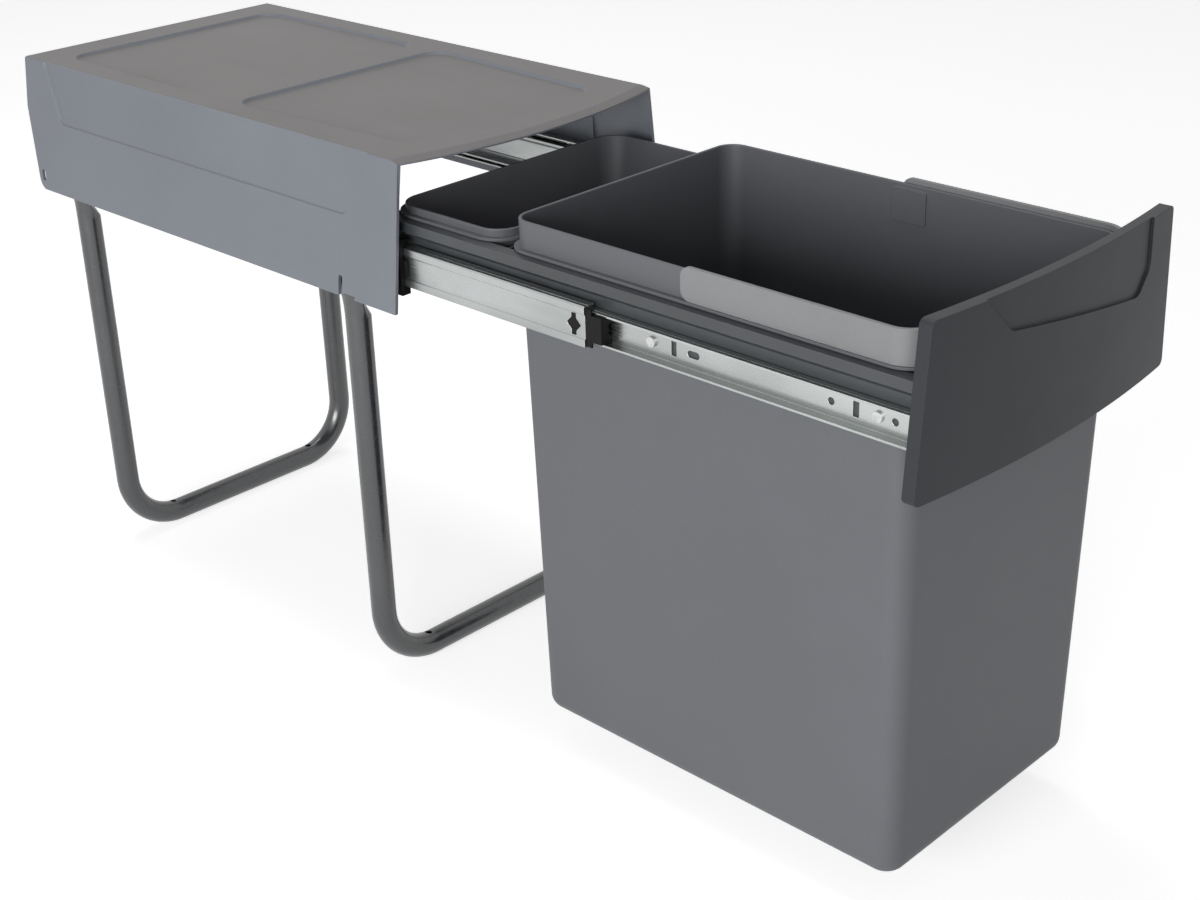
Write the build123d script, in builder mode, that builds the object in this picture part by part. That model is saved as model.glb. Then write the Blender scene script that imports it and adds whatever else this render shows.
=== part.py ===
# Built-in waste bin for a 300 mm cabinet, drawn with the drawer fully open.
# X is the width, +Y points to the back of the cabinet, +Z is up and the cabinet floor is z = 0.
# Pieces are drawn from the housing's front corners at y = 0 and written from the middle of the
# four floor screws.
import os
from math import asin, degrees, hypot

from build123d import *

os.makedirs("parts", exist_ok=True)

# Housing: one moulded lid with two flared skirts
LID_TOP = 403.0
LID_DEPTH = 441.0
LID_THICK = 3.0
LID_BOW = 18.0
SKIRT_HALF = 128.0
SKIRT_SPREAD = 11.0
LID_HALF = SKIRT_HALF - SKIRT_SPREAD
SKIRT_BOTTOM = 303.0
SKIRT_WALL = 2.5
SKIRT_REAR_KNEE = 365.0
SKIRT_REAR_SLANT = 13.0
SKIRT_CORNER = 8.0
LID_EDGE_R = 2.0
TRAY_DEEP = 2.0
TRAY_TAPER = 45.0
LIP_LENGTH = 8.0
LIP_DROP = 1.8
TRAY_MARGIN = 20.0
TRAY_R = 16.0
TRAY_SPLIT = 213.0
TRAY_RIDGE = 24.0
TRAY_REAR_MARGIN = 29.0
TRAY_FRONT = 28.0
TRAY_NARROWING = 10.0
TRAY_BOW = 14.0
EMBOSS_DEEP = 1.3
EMBOSS_TAPER = 40.0
EMBOSS_ABOVE = 6.0
EMBOSS_FRONT = 28.0
EMBOSS_REAR = 416.0
EMBOSS_SLANT = 23.0
EMBOSS_DROP = 45.0
EMBOSS_R = 7.0
RIB_THICK = 1.6
RIB_DEEP = 6.0
RIB_SPACING = 110.0
OVAL_LENGTH = 9.0
OVAL_WIDTH = 5.0
OVAL_TILT = 80.0
OVAL_FROM_CORNER = 6.0
OVAL_UP = 11.0
SLIT_WIDTH = 4.0
SLIT_HEIGHT = 14.0
SLIT_BEFORE_LEG = 2.0
SKIRT_NOTCH_LENGTH = 14.0
SKIRT_NOTCH_DEEP = 2.5
SKIRT_NOTCH_BEFORE_LEG = 10.0

# Two U-shaped legs of round tube, flattened at the top
LEG_FRONT_Y = 58.0
LEG_REAR_Y = LID_DEPTH - 53.0
LEG_HALF = LID_HALF - 4.2
TUBE_R = 9.0
TUBE_WALL = 1.2
LEG_BEND = 45.0
LEG_ROUND_TOP = 284.0
TONGUE_START = 309.0
TONGUE_THICK = 2.0
TONGUE_WIDTH = 25.0
TONGUE_EDGE_R = TONGUE_THICK / 2 - 0.1
TONGUE_ABOVE_AXIS = 11.0
FLOOR_HOLE_R = 2.6
FLOOR_HOLE_HALF = 73.0

# Telescopic slides, seen as sections in X and Z around SLIDE_Z
SLIDE_Z = 332.5
SLIDE_LENGTH = 400.0
OUTER_FRONT = 6.0
OUTER_BACK_X = LID_HALF + 1.8
OUTER_LIP_X = OUTER_BACK_X - 8.8
OUTER_HEIGHT = 35.0
OUTER_SHEET = 1.0
MID_BACK_X = OUTER_BACK_X - 2.0
MID_LIP_X = MID_BACK_X - 8.6
MID_HEIGHT = 26.5
MID_SHEET = 1.2
MID_BAND = 5.0
MID_JOG = 1.0
INNER_WEB_X = MID_BACK_X - 11.3
INNER_HEIGHT = 20.0
INNER_SHEET = 1.2
INNER_TIP_X = MID_BACK_X - 3.4
INNER_FRONT = 1.0
MID_TRAVEL = 167.0
INNER_TRAVEL = 228.0
BALL_GROOVE = 0.35
BALL_GAP = 0.05
OUTER_BALL_X = MID_BACK_X - 2.6
INNER_BALL_X = MID_BACK_X - 5.6
CAGE_SHEET = 0.5
CAGE_GAP = 0.25
CAGE_OUTER_START = 20.0
CAGE_OUTER_LENGTH = 200.0
CAGE_INNER_START = -156.0
CAGE_INNER_LENGTH = 150.0
BALLS_OUTER = 5
BALLS_INNER = 4
RAIL_SLOTS = (-223.0, -352.5)
RAIL_SLOT_WIDTH = 4.0
RAIL_SLOT_HEIGHT = 9.0
RAIL_OVAL = -238.0
RAIL_HOLES = (-336.0, -378.0)
RAIL_HOLE_R = 2.2
MID_CUT_IN = 9.5
MID_CUT_WIDTH = 4.0
MID_CUT_HEIGHT = 14.0
MID_CUT_SQUARE = 8.5
MID_SLOT_IN = 20.0
MID_SLOT_LENGTH = 14.0
MID_SLOT_WIDTH = 5.0
BUMPER_LENGTH = 13.0
BUMPER_CLEAR = 0.4
BUMPER_SLOT = 7.6
BUMPER_SLOT_DEEP = 2.2
BUMPER_TAB_LENGTH = 5.0
OUTER_END_LENGTH = 5.5
OUTER_END_WALL = 1.2
OUTER_END_WIDTH = 7.0
OUTER_END_CLEAR = 0.4
OUTER_END_TONGUE = 3.5
OUTER_END_TONGUE_HEIGHT = 12.0

# Drawer frame of formed sheet
SHEET = 1.5
FRAME_WEB_X = INNER_WEB_X
FRAME_LIP_X = FRAME_WEB_X + 7.5
FRAME_TOP = 361.5
FRAME_BOTTOM = 318.5
FRAME_KNEE = 349.5
FRAME_LIP_DROP = 6.5
FRAME_MITRE = 0.9
FRAME_REAR = 30.0
CROSS_HEIGHT = 25.0
TAB_LENGTH = 6.0
CROSS_REAR_Y = 28.0
CROSS_MID_Y = -80.5

# Front panel
PANEL_UNDER_LID = 0.5
PANEL_BOTTOM = 298.0
PANEL_TOP_HALF = LID_HALF + 1.5
PANEL_BOTTOM_HALF = SKIRT_HALF - 2.0
PANEL_FLANGE = 8.0
PANEL_BOW = 8.0
PANEL_THICK = 3.0
PANEL_GAP = 3.0
PANEL_CORNER = 4.0
PANEL_FIELD_DEEP = 1.6
PANEL_FIELD_R = 9.0
PANEL_FIELD_PATH = ((-90.0, -12.0), (-55.0, 23.0), (79.0, 44.0), (92.0, 30.0), (90.5, -12.0))
BOSS_R = 4.5
BOSS_X = 80.0
BOSS_HEIGHTS = (340.0, 353.0)

# Bins
BIN_GAP = 0.3
BIN_Y_REAR = -86.0
BIN_LENGTH = 300.0
BIN_HALF = FRAME_WEB_X - 2.0
BIN_TOP = 381.5
BIN_BOTTOM = 30.0
BIN_BOTTOM_HALF = BIN_HALF - 6.5
BIN_BOTTOM_INSET = 4.3
BIN_WALL = 2.2
BIN_R = 14.0
BIN_BOTTOM_R = 14.0
BIN_FOOT_R = 10.0
BIN_RIM_R = 0.7
LEDGE = 3.4
LEDGE_THICK = 1.8
TRAY_BIN_Y_REAR = 24.0
TRAY_BIN_LENGTH = 100.0
TRAY_BIN_HALF = BIN_HALF - 1.0
TRAY_BIN_TOP = 368.5
TRAY_BIN_BOTTOM = 312.0
TRAY_BIN_BOTTOM_HALF = TRAY_BIN_HALF - 6.5
TRAY_BIN_INSET = 4.0
TRAY_BIN_R = 18.0
TRAY_BIN_BOTTOM_R = 12.0
TRAY_BIN_FOOT_R = 5.0

# Bail handle of the large bin
HANDLE_GAP = 0.8
HANDLE_THICK = 2.6
HANDLE_HALF_HEIGHT = 10.3
HANDLE_END = 7.6
HANDLE_END_R = 6.5
HANDLE_ABOVE_LEDGE = 0.4
PIVOT_Y = -236.0
PIN_R = 3.0
PIN_GAP = 0.08
PIN_IN = 1.0
PIVOT_PAD = 26.0
PIVOT_PAD_HEIGHT = 22.0
PIVOT_PAD_THICK = 1.5
PIVOT_PAD_R = 2.0
PAD_BELOW_RIM = 3.0

# Screws and rivets
SCREW_R = 2.0
SCREW_HEAD_R = 3.3
SCREW_HEAD = 1.6
SCREW_OUT = 0.3
PANEL_SCREW_LENGTH = 10.0
RIVET_HEAD = 0.9
FIT = 0.1

DRAWER_TRAVEL = MID_TRAVEL + INNER_TRAVEL
PANEL_TOP = LID_TOP - LID_THICK - PANEL_UNDER_LID
FRAME_SHELF_X = BIN_HALF + BIN_GAP
LEDGE_Z = FRAME_TOP + BIN_GAP
FLARE = (SKIRT_HALF - LID_HALF) / (LID_TOP - SKIRT_BOTTOM)


def half_width(z):
    """Outer half width of the flared housing at height z."""
    return LID_HALF + (LID_TOP - z) * FLARE


def across(y):
    """A sketch plane across the part at y, with X to the right and Z up."""
    return Plane.XZ.offset(-y)


def write(piece, name):
    """Label one piece and write it with the middle of the floor screws as its origin."""
    placed = piece.moved(Location((0, -(LEG_FRONT_Y + LEG_REAR_Y) / 2, 0)))
    placed.label = name
    export_step(placed, f"parts/{name}.step")


def write_pair(piece, name):
    """Write a piece made on the +X side and its mirror image on the -X side."""
    write(piece, f"{name}_right")
    with BuildPart() as twin:
        mirror(piece, about=Plane.YZ)
    write(twin.part, f"{name}_left")


# Lid housing

def bow_line(y, half):
    """Three points of the bowed front edge, whose corners stand at y."""
    return (-half, y), (0, y - LID_BOW), (half, y)


with BuildPart() as lid_housing:
    with BuildSketch(across(LID_DEPTH)):
        Polygon(
            (-LID_HALF, LID_TOP), (LID_HALF, LID_TOP),
            (SKIRT_HALF, SKIRT_BOTTOM), (-SKIRT_HALF, SKIRT_BOTTOM), align=None,
        )
    extrude(amount=LID_DEPTH + LID_BOW)
    fillet(lid_housing.edges().filter_by(Axis.Y).group_by(Axis.Z)[-1], LID_EDGE_R)
    under = LID_TOP - LID_THICK
    with BuildSketch(across(LID_DEPTH)):
        Polygon(
            (SKIRT_WALL - half_width(under), under), (half_width(under) - SKIRT_WALL, under),
            (half_width(0) - SKIRT_WALL, 0), (SKIRT_WALL - half_width(0), 0), align=None,
        )
    extrude(amount=LID_DEPTH + LID_BOW, mode=Mode.SUBTRACT)
    # stiffening ribs under the lid and the turned-down rear edge
    with BuildSketch(Plane.XY.offset(under)):
        with GridLocations(0, RIB_SPACING, 1, 3):
            with Locations((0, LID_DEPTH / 2)):
                Rectangle(2 * LID_HALF - 4 * SKIRT_WALL, RIB_THICK)
        with Locations((0, LID_DEPTH - RIB_THICK / 2)):
            Rectangle(2 * LID_HALF - 2 * SKIRT_WALL, RIB_THICK)
    extrude(amount=-RIB_DEEP)
    # moulded ribs that stand on the outer rails above each leg
    rail_top = SLIDE_Z + OUTER_HEIGHT / 2
    for side in (-1, 1):
        for y in (LEG_FRONT_Y, LEG_REAR_Y):
            with BuildSketch(across(y + RIB_THICK / 2)):
                Polygon(
                    (side * (OUTER_BACK_X - 2 * OUTER_SHEET), under), (side * LID_HALF, under),
                    (side * (half_width(rail_top) - SKIRT_WALL / 2), rail_top + BIN_GAP),
                    (side * (OUTER_BACK_X - 2 * OUTER_SHEET), rail_top + BIN_GAP), align=None,
                )
            extrude(amount=RIB_THICK)
    # bowed front edge
    with BuildSketch():
        with BuildLine():
            a, b, c = bow_line(0, LID_HALF)
            ThreePointArc(a, b, c)
            Polyline(c, (2 * LID_HALF, 0), (2 * LID_HALF, -2 * LID_BOW), (-2 * LID_HALF, -2 * LID_BOW),
                     (-2 * LID_HALF, 0), a)
        make_face()
    extrude(amount=LID_TOP + 1, mode=Mode.SUBTRACT)
    # the lid's front edge slopes down to a thin lip
    bow_radius = (LID_HALF**2 + LID_BOW**2) / (2 * LID_BOW)
    with BuildSketch(Plane.YZ):
        Polygon(
            (LIP_LENGTH - LID_BOW, LID_TOP), (-LIP_LENGTH - LID_BOW, LID_TOP - 2 * LIP_DROP),
            (-LIP_LENGTH - LID_BOW, LID_TOP + 1), (LIP_LENGTH - LID_BOW, LID_TOP + 1), align=None,
        )
    revolve(axis=Axis((0, bow_radius - LID_BOW, 0), (0, 0, 1)), mode=Mode.SUBTRACT)
    # slanted rear edge of the skirts with a rounded lower corner
    with BuildSketch(Plane.YZ.offset(-SKIRT_HALF)):
        with BuildLine():
            foot = (LID_DEPTH - SKIRT_REAR_SLANT, SKIRT_BOTTOM + SKIRT_CORNER)
            toe = (LID_DEPTH - SKIRT_REAR_SLANT - SKIRT_CORNER, SKIRT_BOTTOM)
            Line((LID_DEPTH, SKIRT_REAR_KNEE), foot)
            slant = (-SKIRT_REAR_SLANT, SKIRT_BOTTOM + SKIRT_CORNER - SKIRT_REAR_KNEE)
            TangentArc(foot, toe, tangent=slant)
            Polyline(toe, (toe[0], SKIRT_BOTTOM - 1), (LID_DEPTH + 1, SKIRT_BOTTOM - 1),
                     (LID_DEPTH + 1, SKIRT_REAR_KNEE), (LID_DEPTH, SKIRT_REAR_KNEE))
        make_face()
    extrude(amount=2 * SKIRT_HALF, mode=Mode.SUBTRACT)
    # oval holes low at the rear, and the slits beside the front legs
    with BuildSketch(Plane.YZ.offset(-SKIRT_HALF)):
        with Locations((LID_DEPTH - SKIRT_REAR_SLANT - OVAL_FROM_CORNER, SKIRT_BOTTOM + OVAL_UP)):
            SlotOverall(OVAL_LENGTH, OVAL_WIDTH, rotation=OVAL_TILT)
        with Locations((LEG_FRONT_Y - SLIT_BEFORE_LEG, SKIRT_BOTTOM)):
            SlotOverall(2 * SLIT_HEIGHT, SLIT_WIDTH, rotation=90)
        with Locations((LEG_FRONT_Y - SKIRT_NOTCH_BEFORE_LEG, SKIRT_BOTTOM)):
            Rectangle(SKIRT_NOTCH_LENGTH, 2 * SKIRT_NOTCH_DEEP)
    extrude(amount=2 * SKIRT_HALF, mode=Mode.SUBTRACT)
    # shallow pressed fields on the skirts
    slope = hypot(1, FLARE)
    rise = EMBOSS_SLANT * EMBOSS_ABOVE / EMBOSS_DROP
    for side in (-1, 1):
        face = Plane(origin=(side * LID_HALF, 0, LID_TOP), x_dir=(0, side, 0), z_dir=(side, 0, FLARE))
        with BuildSketch(face):
            with BuildLine():
                FilletPolyline(
                    (side * (EMBOSS_FRONT - rise), EMBOSS_ABOVE),
                    (side * (EMBOSS_FRONT + EMBOSS_SLANT), -EMBOSS_DROP * slope),
                    (side * (EMBOSS_REAR - EMBOSS_SLANT), -EMBOSS_DROP * slope),
                    (side * (EMBOSS_REAR + rise), EMBOSS_ABOVE),
                    radius=EMBOSS_R, close=True,
                )
            make_face()
        extrude(amount=-EMBOSS_DEEP, taper=EMBOSS_TAPER, mode=Mode.SUBTRACT)
    # the two recessed fields on top
    with BuildSketch(Plane.XY.offset(LID_TOP)) as fields:
        wide = LID_HALF - TRAY_MARGIN
        narrow = wide - TRAY_NARROWING
        split = TRAY_SPLIT - TRAY_RIDGE / 2
        with BuildLine():
            FilletPolyline(
                (-wide, split + TRAY_RIDGE), (wide, split + TRAY_RIDGE),
                (wide, LID_DEPTH - TRAY_REAR_MARGIN), (-wide, LID_DEPTH - TRAY_REAR_MARGIN),
                radius=TRAY_R, close=True,
            )
        make_face()
        with BuildLine():
            Polyline((-narrow, TRAY_FRONT), (-wide, split), (wide, split), (narrow, TRAY_FRONT))
            ThreePointArc((narrow, TRAY_FRONT), (0, TRAY_FRONT - TRAY_BOW), (-narrow, TRAY_FRONT))
        make_face()
        fillet(fields.vertices().filter_by_position(Axis.Y, 0, split + 1), TRAY_R)
    extrude(amount=-TRAY_DEEP, taper=TRAY_TAPER, mode=Mode.SUBTRACT)
write(lid_housing.part, "lid_housing")

# Legs


def make_leg(y):
    """One U of round tube, whose flattened ends are riveted behind the outer rails."""
    tongue_x = OUTER_BACK_X + TONGUE_THICK / 2
    with BuildPart() as leg:
        with BuildLine(across(y)) as run:
            FilletPolyline(
                (-LEG_HALF, LEG_ROUND_TOP), (-LEG_HALF, TUBE_R), (LEG_HALF, TUBE_R),
                (LEG_HALF, LEG_ROUND_TOP), radius=LEG_BEND,
            )
        with BuildSketch(Plane(origin=run.line @ 0, z_dir=run.line % 0)):
            Circle(TUBE_R)
            Circle(TUBE_R - TUBE_WALL, mode=Mode.SUBTRACT)
        sweep()
        for side in (-1, 1):
            with BuildSketch(Plane.XY.offset(LEG_ROUND_TOP)):
                with Locations((side * LEG_HALF, y)):
                    Circle(TUBE_R)
            with BuildSketch(Plane.XY.offset(TONGUE_START)):
                with Locations((side * tongue_x, y)):
                    RectangleRounded(TONGUE_THICK, TONGUE_WIDTH, TONGUE_EDGE_R)
            loft()
            with BuildSketch(Plane.XY.offset(TONGUE_START)):
                with Locations((side * tongue_x, y)):
                    RectangleRounded(TONGUE_THICK, TONGUE_WIDTH, TONGUE_EDGE_R)
            extrude(amount=SLIDE_Z + TONGUE_ABOVE_AXIS - TONGUE_START)
        with Locations(Location((0, y, SLIDE_Z), (0, 90, 0))):
            Hole(SCREW_R + FIT)
        with Locations((-FLOOR_HOLE_HALF, y, 2 * TUBE_R), (FLOOR_HOLE_HALF, y, 2 * TUBE_R)):
            Hole(FLOOR_HOLE_R, depth=2 * TUBE_R)
    return leg.part


write(make_leg(LEG_FRONT_Y), "leg_front")
write(make_leg(LEG_REAR_Y), "leg_rear")

# Telescopic slides


def channel(web_x, tip_x, height, sheet):
    """Points of a C section, made on the +X side, open from its web towards tip_x."""
    inward = 1 if tip_x > web_x else -1
    top = height / 2
    return [
        (web_x, SLIDE_Z + top), (tip_x, SLIDE_Z + top), (tip_x, SLIDE_Z + top - sheet),
        (web_x + inward * sheet, SLIDE_Z + top - sheet), (web_x + inward * sheet, SLIDE_Z - top + sheet),
        (tip_x, SLIDE_Z - top + sheet), (tip_x, SLIDE_Z - top), (web_x, SLIDE_Z - top),
    ]


def ball_place(outside, inside):
    """Height above the slide's axis and radius of a ball between two flange faces."""
    return (outside + inside) / 2, (outside - inside) / 2 + BALL_GROOVE


OUTER_BALL_Z, OUTER_BALL_R = ball_place(OUTER_HEIGHT / 2 - OUTER_SHEET, MID_HEIGHT / 2)
INNER_BALL_Z, INNER_BALL_R = ball_place(MID_HEIGHT / 2 - MID_SHEET, INNER_HEIGHT / 2)
FRAME_SCREWS = (-367.0, -206.0, -77.0, -8.0)


def cut_grooves(x, z, r):
    """Raceways at both ball rows, as circles taken out of the open section sketch."""
    with Locations((x, SLIDE_Z + z), (x, SLIDE_Z - z)):
        Circle(r + BALL_GAP, mode=Mode.SUBTRACT)


def across_hole(y, x_from, x_to, r, z=SLIDE_Z):
    """A round hole along X through a web on the +X side."""
    with BuildSketch(Plane.YZ.offset(x_from)) as hole:
        with Locations((y, z)):
            Circle(r)
    extrude(hole.sketch, amount=x_to - x_from, mode=Mode.SUBTRACT)


with BuildPart() as rail_outer:
    with BuildSketch(across(OUTER_FRONT + SLIDE_LENGTH)) as section:
        Polygon(*channel(OUTER_BACK_X, OUTER_LIP_X, OUTER_HEIGHT, OUTER_SHEET), align=None)
        fillet(section.vertices().group_by(Axis.X)[-1], OUTER_SHEET)
        cut_grooves(OUTER_BALL_X, OUTER_BALL_Z, OUTER_BALL_R)
    extrude(amount=SLIDE_LENGTH)
    for y in (LEG_FRONT_Y, LEG_REAR_Y):
        across_hole(y, OUTER_BACK_X - 2 * OUTER_SHEET, OUTER_BACK_X + 1, SCREW_R + FIT)
write_pair(rail_outer.part, "rail_outer")

MID_FRONT = OUTER_FRONT - MID_TRAVEL
mid_top = MID_HEIGHT / 2
jog_z = mid_top - MID_BAND
with BuildPart() as rail_mid:
    with BuildSketch(across(MID_FRONT + SLIDE_LENGTH)) as section:
        # web with a jog between two outer bands, upper half
        upper = [
            (MID_BACK_X - MID_SHEET - MID_JOG, jog_z - MID_JOG), (MID_BACK_X - MID_SHEET, jog_z),
            (MID_BACK_X - MID_SHEET, mid_top - MID_SHEET), (MID_LIP_X, mid_top - MID_SHEET),
            (MID_LIP_X, mid_top), (MID_BACK_X, mid_top), (MID_BACK_X, jog_z),
            (MID_BACK_X - MID_JOG, jog_z - MID_JOG),
        ]
        Polygon(*[(x, SLIDE_Z + z) for x, z in upper + [(x, -z) for x, z in reversed(upper)]], align=None)
        corners = section.vertices().group_by(Axis.X)[-1].sort_by(Axis.Y)
        fillet((corners[0], corners[-1]), MID_SHEET)
        cut_grooves(OUTER_BALL_X, OUTER_BALL_Z, OUTER_BALL_R)
        cut_grooves(INNER_BALL_X, INNER_BALL_Z, INNER_BALL_R)
    extrude(amount=SLIDE_LENGTH)
    with BuildSketch(Plane.YZ.offset(MID_BACK_X - 3 * MID_SHEET)):
        with Locations((MID_FRONT + MID_CUT_IN, SLIDE_Z)):
            Rectangle(MID_CUT_WIDTH, MID_CUT_HEIGHT)
            Rectangle(MID_CUT_SQUARE, MID_CUT_SQUARE, rotation=45)
        with Locations((MID_FRONT + SLIDE_LENGTH - MID_SLOT_IN, SLIDE_Z)):
            SlotOverall(MID_SLOT_LENGTH, MID_SLOT_WIDTH)
    extrude(amount=4 * MID_SHEET, mode=Mode.SUBTRACT)
write_pair(rail_mid.part, "rail_mid")

INNER_OPEN_FRONT = INNER_FRONT - DRAWER_TRAVEL
with BuildPart() as rail_inner:
    with BuildSketch(across(INNER_OPEN_FRONT + SLIDE_LENGTH)) as section:
        Polygon(*channel(INNER_WEB_X, INNER_TIP_X, INNER_HEIGHT, INNER_SHEET), align=None)
        fillet(section.vertices().group_by(Axis.X)[0], INNER_SHEET)
        cut_grooves(INNER_BALL_X, INNER_BALL_Z, INNER_BALL_R)
    extrude(amount=SLIDE_LENGTH)
    for y in FRAME_SCREWS:
        across_hole(y, INNER_WEB_X - 1, INNER_WEB_X + 2 * INNER_SHEET, SCREW_R + FIT)
    # pressed slots and spare holes in two groups
    with BuildSketch(Plane.YZ.offset(INNER_WEB_X - 1)):
        with Locations(*[(y, SLIDE_Z) for y in RAIL_SLOTS]):
            Rectangle(RAIL_SLOT_WIDTH, RAIL_SLOT_HEIGHT)
        with Locations((RAIL_OVAL, SLIDE_Z)):
            SlotOverall(RAIL_SLOT_HEIGHT, 2 * RAIL_HOLE_R)
        with Locations(*[(y, SLIDE_Z) for y in RAIL_HOLES]):
            Circle(RAIL_HOLE_R)
    extrude(amount=4 * INNER_SHEET, mode=Mode.SUBTRACT)
write_pair(rail_inner.part, "rail_inner")


def make_cage(start, length, back_x, tip_x, ball_z, ball_r, count):
    """A bent strip between two rails, with a window for each ball."""
    pitch = length / count
    reach = ball_z + CAGE_SHEET / 2
    with BuildPart() as cage:
        with BuildSketch(across(start + length)):
            Polygon(*channel(back_x, tip_x, 2 * reach, CAGE_SHEET), align=None)
        extrude(amount=length)
        with BuildSketch(Plane.XY.offset(SLIDE_Z - 2 * reach)):
            middle = (back_x + tip_x) / 2 - CAGE_SHEET
            with Locations(*[(middle, start + pitch * (i + 0.5)) for i in range(count)]):
                Rectangle(back_x - tip_x - CAGE_SHEET, 2 * ball_r + 2 * BALL_GAP)
        extrude(amount=4 * reach, mode=Mode.SUBTRACT)
    return cage.part


def make_balls(start, length, x, ball_z, ball_r, count):
    """Both rows of balls of one cage."""
    pitch = length / count
    with BuildPart() as balls:
        rows = [(x, start + pitch * (i + 0.5), SLIDE_Z + s * ball_z) for i in range(count) for s in (-1, 1)]
        with Locations(*rows):
            Sphere(ball_r)
    return balls.part


OUTER_CAGE_X = (OUTER_BACK_X - OUTER_SHEET + MID_BACK_X + CAGE_SHEET) / 2
INNER_CAGE_X = MID_BACK_X - MID_JOG - MID_SHEET - CAGE_GAP
write_pair(make_cage(CAGE_OUTER_START, CAGE_OUTER_LENGTH, OUTER_CAGE_X, OUTER_BALL_X - OUTER_BALL_R,
                     OUTER_BALL_Z, OUTER_BALL_R, BALLS_OUTER), "ball_cage_outer")
write_pair(make_balls(CAGE_OUTER_START, CAGE_OUTER_LENGTH, OUTER_BALL_X,
                      OUTER_BALL_Z, OUTER_BALL_R, BALLS_OUTER), "balls_outer")
write_pair(make_cage(CAGE_INNER_START, CAGE_INNER_LENGTH, INNER_CAGE_X, INNER_BALL_X - INNER_BALL_R,
                     INNER_BALL_Z, INNER_BALL_R, BALLS_INNER), "ball_cage_inner")
write_pair(make_balls(CAGE_INNER_START, CAGE_INNER_LENGTH, INNER_BALL_X,
                      INNER_BALL_Z, INNER_BALL_R, BALLS_INNER), "balls_inner")

# Plastic bumper on the front end of each middle rail, running inside the inner rail
with BuildPart() as rail_bumper:
    bumper_low_x = INNER_WEB_X + INNER_SHEET + BUMPER_CLEAR
    bumper_high_x = MID_BACK_X - MID_JOG
    bumper_height = INNER_HEIGHT - 2 * INNER_SHEET - 2 * BUMPER_CLEAR
    with BuildSketch(across(MID_FRONT)):
        with Locations(((bumper_low_x + bumper_high_x) / 2, SLIDE_Z)):
            Rectangle(bumper_high_x - bumper_low_x, bumper_height)
        with Locations((bumper_low_x, SLIDE_Z)):
            Rectangle(2 * BUMPER_SLOT_DEEP, BUMPER_SLOT, mode=Mode.SUBTRACT)
    extrude(amount=BUMPER_LENGTH)
    with BuildSketch(across(MID_FRONT)):
        with Locations((MID_BACK_X - MID_JOG - MID_SHEET / 2, SLIDE_Z)):
            Rectangle(MID_SHEET, MID_HEIGHT - 2 * MID_SHEET)
    extrude(amount=BUMPER_TAB_LENGTH)
write_pair(rail_bumper.part, "rail_bumper")

# Plastic end piece round the front of each outer rail
with BuildPart() as rail_end:
    with BuildSketch(across(OUTER_FRONT)):
        with Locations((OUTER_BACK_X + OUTER_END_WALL - OUTER_END_WIDTH / 2, SLIDE_Z)):
            Rectangle(OUTER_END_WIDTH, OUTER_HEIGHT + 2 * OUTER_END_WALL)
        with Locations((MID_BACK_X + OUTER_END_CLEAR - OUTER_END_WIDTH, SLIDE_Z)):
            Rectangle(2 * OUTER_END_WIDTH, MID_HEIGHT + 2 * OUTER_END_CLEAR, mode=Mode.SUBTRACT)
    extrude(amount=OUTER_END_LENGTH)
    # a tongue that guides the middle rail in the recess of its web
    tongue_low_x = MID_BACK_X - MID_JOG + CAGE_GAP
    with BuildSketch(across(OUTER_FRONT)):
        with Locations(((tongue_low_x + OUTER_BACK_X) / 2, SLIDE_Z)):
            Rectangle(OUTER_BACK_X - tongue_low_x, OUTER_END_TONGUE_HEIGHT)
    extrude(amount=OUTER_END_LENGTH + OUTER_END_TONGUE)
write_pair(rail_end.part, "rail_end")

# Rivets that hold the outer rails on the legs
with BuildPart() as leg_rivets:
    for side in (-1, 1):
        for y in (LEG_FRONT_Y, LEG_REAR_Y):
            inner_x = OUTER_BACK_X - OUTER_SHEET
            outer_x = OUTER_BACK_X + TONGUE_THICK
            with BuildSketch(Plane.YZ.offset(side * inner_x)):
                with Locations((y, SLIDE_Z)):
                    Circle(SCREW_R)
            extrude(amount=side * (outer_x - inner_x))
            with BuildSketch(Plane.YZ.offset(side * outer_x)):
                with Locations((y, SLIDE_Z)):
                    Circle(SCREW_HEAD_R)
            extrude(amount=side * RIVET_HEAD)
write(leg_rivets.part, "leg_rivets")

# Drawer frame

with BuildPart() as frame_side:
    front_y = INNER_OPEN_FRONT
    with BuildSketch(across(FRAME_REAR)):
        shelf = FRAME_TOP - SHEET
        lip = FRAME_TOP - FRAME_LIP_DROP
        Polygon(
            (FRAME_WEB_X, FRAME_BOTTOM), (FRAME_WEB_X, FRAME_KNEE), (FRAME_LIP_X, lip),
            (FRAME_LIP_X, FRAME_TOP), (FRAME_SHELF_X, FRAME_TOP), (FRAME_SHELF_X, shelf),
            (FRAME_LIP_X - SHEET, shelf), (FRAME_LIP_X - SHEET, lip + FRAME_MITRE),
            (FRAME_WEB_X - SHEET, FRAME_KNEE + FRAME_MITRE), (FRAME_WEB_X - SHEET, FRAME_BOTTOM),
            align=None,
        )
    extrude(amount=FRAME_REAR - front_y)
    for y in FRAME_SCREWS:
        across_hole(y, FRAME_WEB_X - 2 * SHEET, FRAME_WEB_X + 1, SCREW_R + FIT)
write_pair(frame_side.part, "frame_side")


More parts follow.
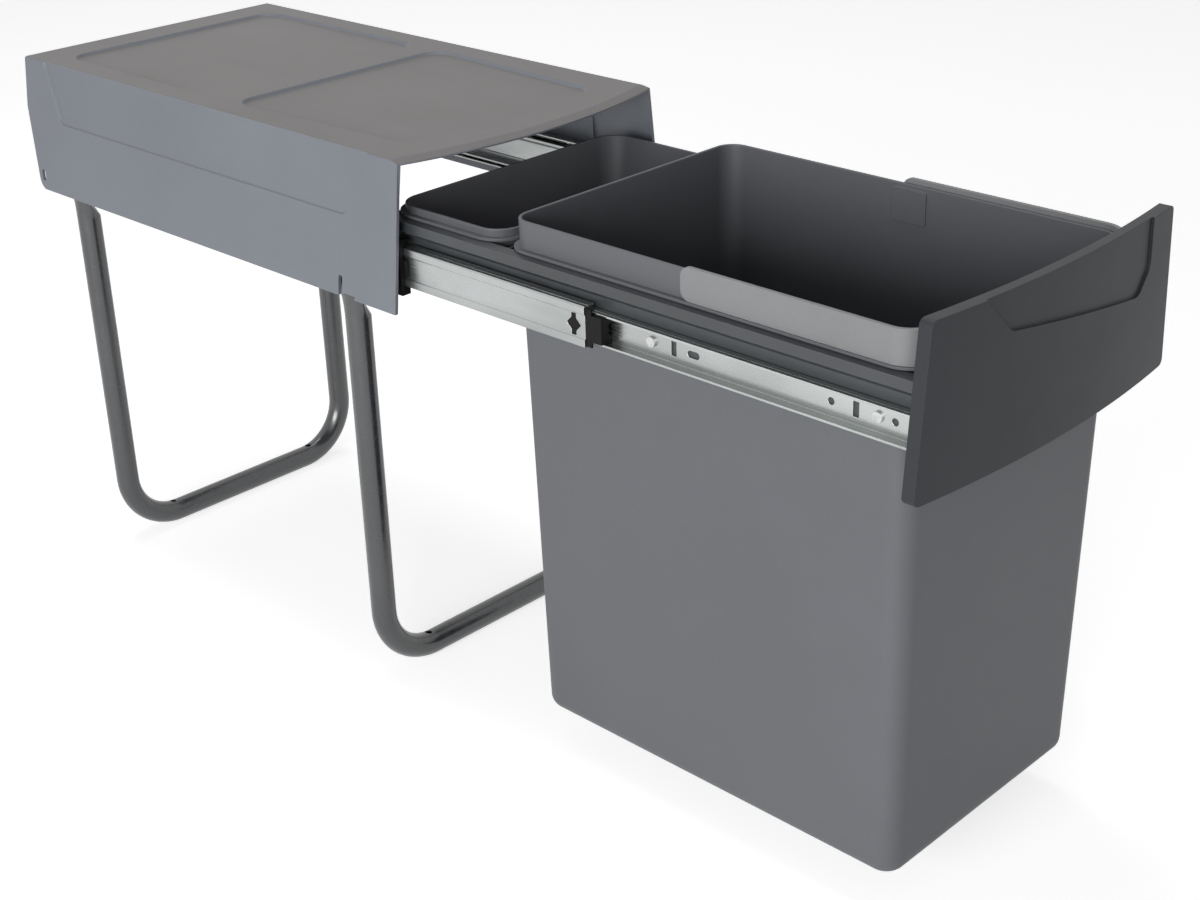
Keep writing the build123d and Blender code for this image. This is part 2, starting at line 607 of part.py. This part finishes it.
def make_cross(y, tab_toward):
    """A strip between the side webs, with a short tab welded along each web."""
    inside = FRAME_WEB_X - SHEET
    top = FRAME_TOP - SHEET - 2 * BIN_GAP
    with BuildPart() as cross:
        with BuildSketch(across(y + SHEET / 2)):
            with Locations((0, top - CROSS_HEIGHT / 2)):
                Rectangle(2 * inside, CROSS_HEIGHT)
        extrude(amount=SHEET)
        with BuildSketch(Plane.XY.offset(top - CROSS_HEIGHT)):
            with Locations(*[(s * (inside - SHEET / 2), y + tab_toward * TAB_LENGTH / 2) for s in (-1, 1)]):
                Rectangle(SHEET, TAB_LENGTH)
        extrude(amount=CROSS_HEIGHT)
    return cross.part


write(make_cross(CROSS_REAR_Y, -1), "frame_cross_rear")
write(make_cross(CROSS_MID_Y, -1), "frame_cross_mid")

BOSS_PLACES = [(x, z) for x in (-BOSS_X, BOSS_X) for z in BOSS_HEIGHTS]
CROSS_FRONT_Y = INNER_OPEN_FRONT - SHEET / 2
with BuildPart() as frame_cross_front:
    add(make_cross(CROSS_FRONT_Y, 1))
    with BuildSketch(across(CROSS_FRONT_Y + SHEET)):
        with Locations(*BOSS_PLACES):
            Circle(SCREW_R + FIT)
    extrude(amount=3 * SHEET, mode=Mode.SUBTRACT)
write(frame_cross_front.part, "frame_cross_front")

# Screws that hold each inner rail on its frame side
with BuildPart() as frame_screws:
    seat = INNER_WEB_X + INNER_SHEET
    with BuildSketch(Plane.YZ.offset(seat)):
        with Locations(*[(y, SLIDE_Z) for y in FRAME_SCREWS]):
            Circle(SCREW_HEAD_R)
    extrude(amount=SCREW_HEAD)
    with BuildSketch(Plane.YZ.offset(seat)):
        with Locations(*[(y, SLIDE_Z) for y in FRAME_SCREWS]):
            Circle(SCREW_R)
    extrude(amount=FRAME_WEB_X - SHEET - SCREW_OUT - seat)
write_pair(frame_screws.part, "frame_screws")

# Front panel

PANEL_REAR = -PANEL_GAP - DRAWER_TRAVEL
PANEL_FRONT = PANEL_REAR - PANEL_FLANGE


def bowed_slab(y_front, depth, inset):
    """A bowed slab of even depth, trimmed to the panel's flared outline less an inset."""
    radius = (PANEL_TOP_HALF**2 + PANEL_BOW**2) / (2 * PANEL_BOW)
    centre_y = y_front - PANEL_BOW + radius
    span = degrees(asin(1.1 * PANEL_BOTTOM_HALF / radius))
    with BuildPart() as slab:
        with BuildSketch():
            with BuildLine():
                front = CenterArc((0, centre_y), radius, -90 - span, 2 * span)
                rear = CenterArc((0, centre_y + depth), radius, -90 - span, 2 * span)
                Line(front @ 0, rear @ 0)
                Line(front @ 1, rear @ 1)
            make_face()
        extrude(amount=LID_TOP)
        with BuildSketch(across(y_front + depth + PANEL_BOW)) as trim:
            top = PANEL_TOP_HALF - inset
            bottom = PANEL_BOTTOM_HALF - inset
            Polygon(
                (-top, PANEL_TOP - inset), (top, PANEL_TOP - inset),
                (bottom, PANEL_BOTTOM + inset), (-bottom, PANEL_BOTTOM + inset), align=None,
            )
            fillet(trim.vertices(), PANEL_CORNER - inset / 2)
        extrude(amount=depth + 3 * PANEL_BOW, mode=Mode.INTERSECT)
    return slab.part


# Cutter for the lopsided field that is pressed in below the panel's top edge
with BuildPart() as field:
    with BuildSketch(across(PANEL_REAR)):
        with BuildLine():
            FilletPolyline(*[(x, PANEL_TOP - drop) for x, drop in PANEL_FIELD_PATH],
                           radius=PANEL_FIELD_R, close=True)
        make_face()
    extrude(amount=PANEL_FLANGE + 2 * PANEL_BOW)
    add(bowed_slab(PANEL_FRONT - 1, 1 + PANEL_FIELD_DEEP, -PANEL_GAP), mode=Mode.INTERSECT)

# Screw bosses between the panel and the front cross strip
with BuildPart() as bosses:
    boss_depth = PANEL_BOW + PANEL_FLANGE
    with BuildSketch(across(CROSS_FRONT_Y - SHEET / 2 - BIN_GAP)):
        with Locations(*BOSS_PLACES):
            Circle(BOSS_R)
            Circle(SCREW_R + FIT, mode=Mode.SUBTRACT)
    extrude(amount=boss_depth)
    add(bowed_slab(PANEL_FRONT + PANEL_THICK / 2, 2 * boss_depth, PANEL_THICK), mode=Mode.INTERSECT)

with BuildPart() as front_panel:
    add(bowed_slab(PANEL_FRONT, PANEL_FLANGE, 0))
    add(bowed_slab(PANEL_FRONT + PANEL_THICK, PANEL_FLANGE, PANEL_THICK), mode=Mode.SUBTRACT)
    add(field.part, mode=Mode.SUBTRACT)
    add(bosses.part)
write(front_panel.part, "front_panel")

with BuildPart() as panel_screws:
    with BuildSketch(across(CROSS_FRONT_Y + SHEET / 2)):
        with Locations(*BOSS_PLACES):
            Circle(SCREW_HEAD_R)
    extrude(amount=-SCREW_HEAD)
    with BuildSketch(across(CROSS_FRONT_Y + SHEET / 2)):
        with Locations(*BOSS_PLACES):
            Circle(SCREW_R)
    extrude(amount=PANEL_SCREW_LENGTH)
write(panel_screws.part, "panel_screws")

# Bins


def tapered(y_mid, low, high, edge_r):
    """A tapered block with a rounded foot; low and high give half width, length, corner and height."""
    with BuildPart() as block:
        for half, length, corner, z in (low, high):
            with BuildSketch(Plane.XY.offset(z)):
                with Locations((0, y_mid)):
                    RectangleRounded(2 * half, length, corner)
        loft()
        fillet(block.edges().group_by(Axis.Z)[0], edge_r)
    return block.part


def make_bin(y_rear, length, half, top, bottom, bottom_half, inset, corner, bottom_corner, edge_r):
    """A tapered tub of even wall, with a narrow ledge round it that rests on the frame."""
    y_mid = y_rear - length / 2
    high = (half, length, corner, top)
    low = (bottom_half, length - 2 * inset, bottom_corner, bottom)
    inner_high = (half - BIN_WALL, length - 2 * BIN_WALL, corner - BIN_WALL, top)
    inner_low = (bottom_half - BIN_WALL, low[1] - 2 * BIN_WALL, bottom_corner - BIN_WALL, bottom + BIN_WALL)
    with BuildPart() as tub:
        add(tapered(y_mid, low, high, edge_r))
        with BuildSketch(Plane.XY.offset(LEDGE_Z)):
            with Locations((0, y_mid)):
                RectangleRounded(2 * (half + LEDGE), length + 2 * LEDGE, corner + LEDGE)
        extrude(amount=LEDGE_THICK)
        add(tapered(y_mid, inner_low, inner_high, edge_r - BIN_WALL), mode=Mode.SUBTRACT)
        fillet(tub.edges().group_by(Axis.Z)[-1], BIN_RIM_R)
    return tub.part


PIVOT_Z = LEDGE_Z + LEDGE_THICK + HANDLE_ABOVE_LEDGE + HANDLE_HALF_HEIGHT
with BuildPart() as bin_large:
    add(make_bin(BIN_Y_REAR, BIN_LENGTH, BIN_HALF, BIN_TOP, BIN_BOTTOM, BIN_BOTTOM_HALF, BIN_BOTTOM_INSET,
                 BIN_R, BIN_BOTTOM_R, BIN_FOOT_R))
    # pads inside the walls at the pivots, and the pin holes through them
    for side in (-1, 1):
        with BuildSketch(Plane.YZ.offset(side * (BIN_HALF - BIN_WALL - PIVOT_PAD_THICK))):
            with Locations((PIVOT_Y, BIN_TOP - PAD_BELOW_RIM - PIVOT_PAD_HEIGHT / 2)):
                RectangleRounded(PIVOT_PAD, PIVOT_PAD_HEIGHT, PIVOT_PAD_R)
        extrude(amount=side * (BIN_WALL / 2 + PIVOT_PAD_THICK))
        across_hole(PIVOT_Y, side * (BIN_HALF + 1), side * (BIN_HALF - BIN_WALL - PIN_IN), PIN_R + PIN_GAP,
                    PIVOT_Z)
write(bin_large.part, "bin_large")

with BuildPart() as bin_small:
    add(make_bin(TRAY_BIN_Y_REAR, TRAY_BIN_LENGTH, TRAY_BIN_HALF, TRAY_BIN_TOP, TRAY_BIN_BOTTOM,
                 TRAY_BIN_BOTTOM_HALF, TRAY_BIN_INSET, TRAY_BIN_R, TRAY_BIN_BOTTOM_R,
                 TRAY_BIN_FOOT_R))
write(bin_small.part, "bin_small")

# Bail handle: a band round the front half of the large bin, standing on its ledge
with BuildPart() as bin_handle:
    with BuildSketch(Plane.XY.offset(PIVOT_Z - HANDLE_HALF_HEIGHT)):
        with Locations((0, BIN_Y_REAR - BIN_LENGTH / 2)):
            outside = HANDLE_GAP + HANDLE_THICK
            RectangleRounded(2 * (BIN_HALF + outside), BIN_LENGTH + 2 * outside, BIN_R + outside)
            RectangleRounded(2 * (BIN_HALF + HANDLE_GAP), BIN_LENGTH + 2 * HANDLE_GAP,
                             BIN_R + HANDLE_GAP, mode=Mode.SUBTRACT)
        with Locations((0, PIVOT_Y + BIN_LENGTH / 2 + BIN_R)):
            Rectangle(3 * BIN_HALF, BIN_LENGTH + 2 * BIN_R, mode=Mode.SUBTRACT)
    extrude(amount=2 * HANDLE_HALF_HEIGHT)
    for side in (-1, 1):
        with BuildSketch(Plane.YZ.offset(side * (BIN_HALF + HANDLE_GAP))):
            with Locations((PIVOT_Y, PIVOT_Z)):
                RectangleRounded(2 * HANDLE_END, 2 * HANDLE_HALF_HEIGHT, HANDLE_END_R)
        extrude(amount=side * HANDLE_THICK)
    for side in (-1, 1):
        with BuildSketch(Plane.YZ.offset(side * (BIN_HALF + HANDLE_GAP))):
            with Locations((PIVOT_Y, PIVOT_Z)):
                Circle(PIN_R)
        extrude(amount=-side * (HANDLE_GAP + BIN_WALL))
write(bin_handle.part, "bin_handle")
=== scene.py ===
from math import cos, radians, sin

import bmesh
import bpy
from mathutils import Matrix, Vector


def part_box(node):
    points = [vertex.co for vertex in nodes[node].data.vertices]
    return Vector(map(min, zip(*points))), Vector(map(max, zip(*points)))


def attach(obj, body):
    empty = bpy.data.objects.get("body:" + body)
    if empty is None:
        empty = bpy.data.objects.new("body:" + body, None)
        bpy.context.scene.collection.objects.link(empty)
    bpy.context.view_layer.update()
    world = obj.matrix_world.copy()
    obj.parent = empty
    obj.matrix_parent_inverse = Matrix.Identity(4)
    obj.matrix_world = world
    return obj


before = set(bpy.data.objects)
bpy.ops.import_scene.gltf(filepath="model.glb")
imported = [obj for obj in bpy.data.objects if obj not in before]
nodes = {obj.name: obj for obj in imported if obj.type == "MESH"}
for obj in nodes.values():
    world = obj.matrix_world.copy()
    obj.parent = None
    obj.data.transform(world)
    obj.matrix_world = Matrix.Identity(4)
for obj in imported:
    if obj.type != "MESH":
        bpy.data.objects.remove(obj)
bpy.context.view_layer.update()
scene = bpy.context.scene
MM = 0.001
SIDES = ("left", "right")
DISPLAY_WHITE = 255
DISPLAY_GAMMA = 2.2
WHITE = (1.0, 1.0, 1.0, 1.0)


def srgb(r, g, b):
    """A linear colour from 0 to 255 display values."""
    return tuple((c / DISPLAY_WHITE) ** DISPLAY_GAMMA for c in (r, g, b)) + (1.0,)


def shade(colour, factor, lift=0.0):
    """The colour made lighter or darker by a factor and a lift, white at most."""
    return tuple(min(1.0, c * factor + lift) for c in colour[:3]) + (1.0,)


def grey(value):
    return (value, value, value, 1.0)


# Camera: the photograph's place, angle and roll
CAMERA_AT = Vector((-857.8, -1126.7, 751.6)) * MM
AZIMUTH = radians(-45.33)
ELEVATION = radians(25.44)
ROLL = radians(-1.71)
FOCAL_PIXELS = 1913.13
IMAGE_WIDTH = 1200
SENSOR = 36.0
CAMERA_REACH = 50.0


def add_camera():
    forward = Vector((-sin(AZIMUTH) * cos(ELEVATION), cos(AZIMUTH) * cos(ELEVATION), -sin(ELEVATION)))
    level = forward.cross(Vector((0, 0, 1))).normalized()
    upright = level.cross(forward)
    right = cos(ROLL) * level + sin(ROLL) * upright
    up = cos(ROLL) * upright - sin(ROLL) * level
    data = bpy.data.cameras.new("camera")
    data.sensor_width = SENSOR
    data.lens = FOCAL_PIXELS / IMAGE_WIDTH * SENSOR
    data.clip_end = CAMERA_REACH
    camera = bpy.data.objects.new("camera", data)
    axes = Matrix((right, up, -forward)).transposed().to_4x4()
    camera.matrix_world = Matrix.Translation(CAMERA_AT) @ axes
    scene.collection.objects.link(camera)
    scene.camera = camera


# Materials: noise scales are in cells per metre

# Noise between these two values is spread from 0 to 1
SPREAD = (0.3, 0.7)
# How far a rounded edge turns from its face, from none to all of the pale edge colour, which is
# partly wear and partly painted highlight
EDGE_TURN = (0.995, 0.85)
EDGE_SAMPLES = 6
# Upward part of a face's direction, from none to all of the top colour
LOOKS_UP = (0.75, 0.95)
# Lift to the pale colour of flecks and edges; at edges it is partly wear and partly painted highlight
EDGE_LIFT = 0.02

MOULD_GRAIN = 2400.0
MOULD_GRAIN_DEEP = 0.022 * MM
MOULD_FLECKS = (0.0, 0.08)
MOULD_FLOW = (-0.012, 0.012)

ZINC_LINES = 2600.0
ZINC_LINES_DEEP = 0.012 * MM
ZINC_LINES_SHEEN = (-0.07, 0.09)
ZINC_EDGE_R = 0.35 * MM
# Near-white colour of zinc edges: partly wear, partly painted highlight
ZINC_EDGE = srgb(238, 240, 240)
ZINC_TINT = (0.95, 0.97, 0.95)

COAT_PEEL = 420.0
COAT_PEEL_DEEP = 0.015 * MM
COAT_EDGE_R = 0.5 * MM

STEEL_SCRATCH = 1800.0
STEEL_SCRATCH_DEEP = 0.01 * MM
STEEL_EDGE_R = 0.2 * MM


class Tree:
    """A material's node tree, with short calls for its nodes and links."""

    def __init__(self, name):
        self.material = bpy.data.materials.new(name)
        self.material.use_nodes = True
        self.tree = self.material.node_tree
        self.shader = self.tree.nodes["Principled BSDF"]
        self.place = self.node("ShaderNodeTexCoord").outputs["Object"]

    def feed(self, socket, value):
        """Gives a socket a link or a plain value."""
        if isinstance(value, bpy.types.NodeSocket):
            self.tree.links.new(value, socket)
        else:
            socket.default_value = value

    def node(self, kind, inputs=None, **settings):
        made = self.tree.nodes.new(kind)
        for key, value in settings.items():
            setattr(made, key, value)
        for key, value in (inputs or {}).items():
            self.feed(made.inputs[key], value)
        return made

    def noise(self, scale, stretch=(1, 1, 1), detail=3.0, rough=0.5):
        """Noise, stretched where a factor is below 1."""
        mapped = self.node("ShaderNodeMapping", {"Vector": self.place, "Scale": stretch})
        made = self.node("ShaderNodeTexNoise", {"Vector": mapped.outputs[0], "Scale": scale,
                                                "Detail": detail, "Roughness": rough})
        return made.outputs["Fac"]

    def ramp(self, value, low, high, out_low=0.0, out_high=1.0):
        made = self.node("ShaderNodeMapRange", {"Value": value, "From Min": low, "From Max": high,
                                                "To Min": out_low, "To Max": out_high})
        return made.outputs["Result"]

    def mix(self, factor, a, b):
        made = self.node("ShaderNodeMix", data_type="RGBA")
        for name, value in (("Factor", factor), ("A", a), ("B", b)):
            self.feed([s for s in made.inputs if s.name == name and s.enabled][0], value)
        return [s for s in made.outputs if s.name == "Result" and s.enabled][0]

    def math(self, operation, a, b):
        return self.node("ShaderNodeMath", {0: a, 1: b}, operation=operation).outputs[0]

    def facing(self):
        return self.node("ShaderNodeNewGeometry").outputs["Normal"]

    def soft_normal(self, radius):
        """The surface's direction with its edges rounded, and how near an edge it is."""
        bevel = self.node("ShaderNodeBevel", {"Radius": radius}, samples=EDGE_SAMPLES)
        dot = self.node("ShaderNodeVectorMath", {0: bevel.outputs[0], 1: self.facing()},
                        operation="DOT_PRODUCT")
        return bevel.outputs[0], self.ramp(dot.outputs["Value"], *EDGE_TURN)

    def bump(self, height, distance, normal):
        made = self.node("ShaderNodeBump", {"Height": height, "Distance": distance, "Normal": normal,
                                            "Strength": 1.0})
        return made.outputs[0]

    def set(self, **values):
        for key, value in values.items():
            self.feed(self.shader.inputs[key.replace("_", " ")], value)


def plastic(name, colour, roughness, edge=0.35, radius=0.7, shine=0.45, top=None):
    """Moulded plastic: fine eroded grain, faint flow marks, pale flecks, and edges a little lighter,
    partly wear and partly painted highlight.

    A second colour may be given for the faces that look up.
    """
    t = Tree(name)
    normal, edge_wear_and_highlight = t.soft_normal(radius * MM)
    cloud = t.noise(7.0, detail=4.0)
    fleck = t.noise(MOULD_GRAIN / 2, detail=2.0)
    marks = t.noise(60.0, stretch=(1.0, 0.15, 1.0), detail=4.0)
    light = shade(colour, 1.9, EDGE_LIFT)
    base = t.mix(t.ramp(cloud, *SPREAD), shade(colour, 0.93), shade(colour, 1.07))
    if top:
        up = t.node("ShaderNodeSeparateXYZ", {0: t.facing()}).outputs["Z"]
        base = t.mix(t.ramp(up, *LOOKS_UP), base, top)
    base = t.mix(t.ramp(fleck, 0.35, 0.75, *MOULD_FLECKS), base, light)
    # Edges mixed toward the pale colour: partly wear, partly painted highlight
    base = t.mix(t.math("MULTIPLY", edge_wear_and_highlight, edge), base, light)
    sheen = t.ramp(cloud, *SPREAD, roughness, roughness + 0.06)
    rough = t.math("ADD", t.ramp(marks, *SPREAD, *MOULD_FLOW), sheen)
    skin = t.bump(t.noise(MOULD_GRAIN, detail=3.0, rough=0.6), MOULD_GRAIN_DEEP, normal)
    t.set(Base_Color=base, Roughness=rough, Normal=skin, Specular_IOR_Level=shine)
    return t.material


def zinc(name, colour, roughness):
    """Bright zinc on rolled steel: drawing lines along Y, a blotchy tint, rougher patches with
    painted dark reflection, edges of wear and painted highlight.
    """
    t = Tree(name)
    normal, edge_wear_and_highlight = t.soft_normal(ZINC_EDGE_R)
    lines = t.noise(ZINC_LINES, stretch=(1.0, 0.012, 1.0), detail=2.0)
    blotch = t.noise(55.0, detail=5.0, rough=0.65)
    dark_reflection_patch = t.noise(18.0, stretch=(1.0, 0.25, 1.0), detail=3.0)
    tint = tuple(c * f for c, f in zip(colour[:3], ZINC_TINT)) + (1.0,)
    base = t.mix(t.ramp(blotch, 0.35, 0.65), colour, tint)
    # Patches darkened to 0.55 of the colour: painted dark reflection; the same patches are also
    # rougher
    base = t.mix(t.ramp(dark_reflection_patch, 0.42, 0.68, 0.0, 0.85), base, shade(colour, 0.55))
    # Edges mixed toward near-white: partly wear, partly painted highlight
    base = t.mix(t.math("MULTIPLY", edge_wear_and_highlight, 0.9), base, ZINC_EDGE)
    sheen = t.ramp(dark_reflection_patch, 0.4, 0.7, roughness, roughness + 0.14)
    rough = t.math("ADD", t.ramp(lines, 0.25, 0.75, *ZINC_LINES_SHEEN), sheen)
    skin = t.bump(lines, ZINC_LINES_DEEP, normal)
    t.set(Base_Color=base, Roughness=rough, Metallic=1.0, Normal=skin)
    return t.material


def coated(name, colour, roughness, shine=0.6):
    """Powder-coated steel: orange-peel skin, a cloudy shade and pale edges, partly wear and partly
    painted highlight.
    """
    t = Tree(name)
    normal, edge_wear_and_highlight = t.soft_normal(COAT_EDGE_R)
    peel = t.noise(COAT_PEEL, detail=1.0)
    cloud = t.noise(14.0, detail=3.0)
    base = t.mix(t.ramp(cloud, *SPREAD), shade(colour, 0.75), colour)
    # Edges mixed toward a colour 3.4 times as light: partly wear, partly painted highlight
    base = t.mix(t.math("MULTIPLY", edge_wear_and_highlight, 0.75), base, shade(colour, 3.4, EDGE_LIFT))
    rough = t.ramp(t.noise(160.0, detail=3.0), *SPREAD, roughness - 0.05, roughness + 0.08)
    skin = t.bump(peel, COAT_PEEL_DEEP, normal)
    t.set(Base_Color=base, Roughness=rough, Normal=skin, Specular_IOR_Level=shine)
    return t.material


def steel(name, colour, roughness):
    """Turned or pressed steel: fine scratches without direction, with dull stains."""
    t = Tree(name)
    normal, _ = t.soft_normal(STEEL_EDGE_R)
    scratch = t.noise(STEEL_SCRATCH, detail=4.0, rough=0.7)
    stain = t.noise(220.0, detail=3.0)
    base = t.mix(t.ramp(stain, 0.45, 0.75, 0.0, 0.7), colour, shade(colour, 0.65))
    rough = t.ramp(scratch, 0.25, 0.75, roughness - 0.06, roughness + 0.12)
    skin = t.bump(scratch, STEEL_SCRATCH_DEEP, normal)
    t.set(Base_Color=base, Roughness=rough, Metallic=1.0, Normal=skin)
    return t.material


looks = {
    # Lid faces that look up get a warmer, slightly darker grey: partly the trays' brownish grey,
    # partly painted light from above
    "lid_housing": plastic("housing_plastic", srgb(114, 118, 125), 0.46, top=srgb(112, 109, 108)),
    # Panel grey: partly its own darker plastic, partly painted shade for its front, which the lamps
    # light little
    "front_panel": plastic("panel_plastic_painted_shade", srgb(44, 46, 50), 0.48, shine=0.3),
    "bin_large": plastic("bin_plastic", srgb(92, 94, 98), 0.5),
    "bin_small": plastic("tray_plastic", srgb(88, 89, 93), 0.5),
    "bin_handle": plastic("handle_plastic", srgb(126, 127, 128), 0.42),
}
black = plastic("black_plastic", srgb(12, 12, 13), 0.5, edge=0.15, radius=0.4, shine=0.18)
leg_coat = coated("leg_coat", srgb(56, 58, 61), 0.22, shine=1.0)
frame_coat = coated("frame_coat", srgb(58, 61, 64), 0.4)
rail_zinc = zinc("rail_zinc", srgb(186, 189, 188), 0.2)
mid_zinc = zinc("mid_zinc", srgb(180, 183, 183), 0.26)
cage_strip = steel("cage_strip", srgb(150, 150, 146), 0.35)
ball_steel = steel("ball_steel", srgb(215, 215, 216), 0.1)
screw_zinc = steel("screw_zinc", srgb(196, 197, 198), 0.28)
shared_looks = (
    (leg_coat, ("leg_front", "leg_rear")),
    (frame_coat, ("frame_cross_rear", "frame_cross_mid", "frame_cross_front")),
    (screw_zinc, ("leg_rivets", "panel_screws")),
)
looks_per_side = {
    "rail_outer": rail_zinc,
    "rail_mid": mid_zinc,
    "rail_inner": rail_zinc,
    "rail_end": black,
    "rail_bumper": black,
    "frame_side": frame_coat,
    "frame_screws": screw_zinc,
    "ball_cage_outer": cage_strip,
    "ball_cage_inner": cage_strip,
    "balls_outer": ball_steel,
    "balls_inner": ball_steel,
}
for material, names in shared_looks:
    for name in names:
        looks[name] = material
for name, material in looks_per_side.items():
    for side in SIDES:
        looks[f"{name}_{side}"] = material
for name, node in nodes.items():
    for slot in node.material_slots:
        slot.material = looks[name]


# Black arrow-shaped latch that fills the cut-out in each middle rail's front end
RAIL_SHEET = 1.0 * MM
LATCH_CLEAR = 0.15 * MM
LATCH_POINT_CLEAR = 1.5 * LATCH_CLEAR
LATCH_BEVEL = 0.25 * MM
LATCH_BEVEL_STEPS = 2
LATCH_SLOT = (2.0 * MM, 7.0 * MM)
LATCH_POINT = 6.01 * MM
LATCH_FROM_END = 9.5 * MM
LATCH_DEEP = 1.3 * MM
LATCH_PROUD = 0.1 * MM


def add_latch(side, sign):
    """A slim plate with a square point on each long side, standing in the rail's web."""
    low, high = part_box(f"rail_mid_{side}")
    web = sign * (max(abs(low[0]), abs(high[0])) - RAIL_SHEET + LATCH_PROUD)
    y_mid = low[1] + LATCH_FROM_END
    z_mid = (low[2] + high[2]) / 2
    half_y = LATCH_SLOT[0] - LATCH_CLEAR
    half_z = LATCH_SLOT[1] - LATCH_CLEAR
    point = LATCH_POINT - LATCH_POINT_CLEAR
    shoulder = point - half_y
    outline = [
        (-half_y, -half_z), (half_y, -half_z), (half_y, -shoulder), (point, 0), (half_y, shoulder),
        (half_y, half_z), (-half_y, half_z), (-half_y, shoulder), (-point, 0), (-half_y, -shoulder),
    ]
    form = bmesh.new()
    face = form.faces.new([form.verts.new((web, y_mid + y, z_mid + z)) for y, z in outline])
    pushed = bmesh.ops.extrude_face_region(form, geom=[face])["geom"]
    back = [v for v in pushed if isinstance(v, bmesh.types.BMVert)]
    bmesh.ops.translate(form, vec=(-sign * LATCH_DEEP, 0, 0), verts=back)
    bmesh.ops.recalc_face_normals(form, faces=form.faces)
    bmesh.ops.bevel(form, geom=list(form.edges), offset=LATCH_BEVEL, segments=LATCH_BEVEL_STEPS,
                    affect="EDGES")
    mesh = bpy.data.meshes.new(f"rail_latch_{side}")
    form.to_mesh(mesh)
    form.free()
    mesh.materials.append(black)
    latch = bpy.data.objects.new(f"rail_latch_{side}", mesh)
    scene.collection.objects.link(latch)
    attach(latch, f"mid_{side}")


for side, sign in zip(SIDES, (-1, 1)):
    add_latch(side, sign)


# Floor, world and lights
FLOOR_HALF = 6.0
FLOOR_CORNERS = ((-1, -1), (1, -1), (1, 1), (-1, 1))
FLOOR_BASE = 0.8
FLOOR_ROUGH = 0.9
FLOOR_GLOW = 0.66
WORLD_LIGHT = 0.16
WORLD_SEEN = 1.0
LAMP_AIM = (0.0, -0.2, 0.25)


def is_seen(t):
    """1 for rays that see the surface directly, in a mirror or through glass."""
    path = t.nodes.new("ShaderNodeLightPath")
    total = path.outputs["Is Camera Ray"]
    for kind in ("Is Glossy Ray", "Is Transmission Ray"):
        add = t.nodes.new("ShaderNodeMath")
        add.operation = "MAXIMUM"
        t.links.new(total, add.inputs[0])
        t.links.new(path.outputs[kind], add.inputs[1])
        total = add.outputs[0]
    return total


def add_floor():
    """A pale floor that keeps the shadow and glows enough to look white."""
    corners = [(x * FLOOR_HALF, y * FLOOR_HALF, 0) for x, y in FLOOR_CORNERS]
    mesh = bpy.data.meshes.new("floor")
    mesh.from_pydata(corners, [], [(0, 1, 2, 3)])
    floor = bpy.data.objects.new("floor", mesh)
    scene.collection.objects.link(floor)
    material = bpy.data.materials.new("floor_white")
    material.use_nodes = True
    t = material.node_tree
    shader = t.nodes["Principled BSDF"]
    shader.inputs["Base Color"].default_value = grey(FLOOR_BASE)
    shader.inputs["Roughness"].default_value = FLOOR_ROUGH
    glow = t.nodes.new("ShaderNodeEmission")
    t.links.new(is_seen(t), glow.inputs["Strength"])
    glow.inputs["Color"].default_value = grey(FLOOR_GLOW)
    both = t.nodes.new("ShaderNodeAddShader")
    t.links.new(shader.outputs[0], both.inputs[0])
    t.links.new(glow.outputs[0], both.inputs[1])
    t.links.new(both.outputs[0], t.nodes["Material Output"].inputs["Surface"])
    mesh.materials.append(material)


def add_world():
    """A white world that lights the part faintly and is seen at full strength."""
    world = bpy.data.worlds.new("studio")
    world.use_nodes = True
    t = world.node_tree
    sky = t.nodes["Background"]
    mixer = t.nodes.new("ShaderNodeMix")
    mixer.data_type = "FLOAT"
    t.links.new(is_seen(t), mixer.inputs[0])
    mixer.inputs[2].default_value = WORLD_LIGHT
    mixer.inputs[3].default_value = WORLD_SEEN
    t.links.new(mixer.outputs[0], sky.inputs["Strength"])
    sky.inputs["Color"].default_value = WHITE
    scene.world = world


def add_lamp(name, place, size, power):
    """A rectangular lamp that points at the part."""
    data = bpy.data.lights.new(name, "AREA")
    data.shape = "RECTANGLE"
    data.size, data.size_y = size
    data.energy = power
    lamp = bpy.data.objects.new(name, data)
    lamp.location = place
    lamp.rotation_euler = (Vector(LAMP_AIM) - Vector(place)).to_track_quat("-Z", "Y").to_euler()
    scene.collection.objects.link(lamp)


add_camera()
add_floor()
add_world()
add_lamp("key", place=(-2.3, -1.0, 0.75), size=(2.0, 1.0), power=52.0)
add_lamp("top", place=(0.1, 0.3, 2.6), size=(1.2, 1.2), power=17.0)
scene.view_settings.view_transform = "Standard"
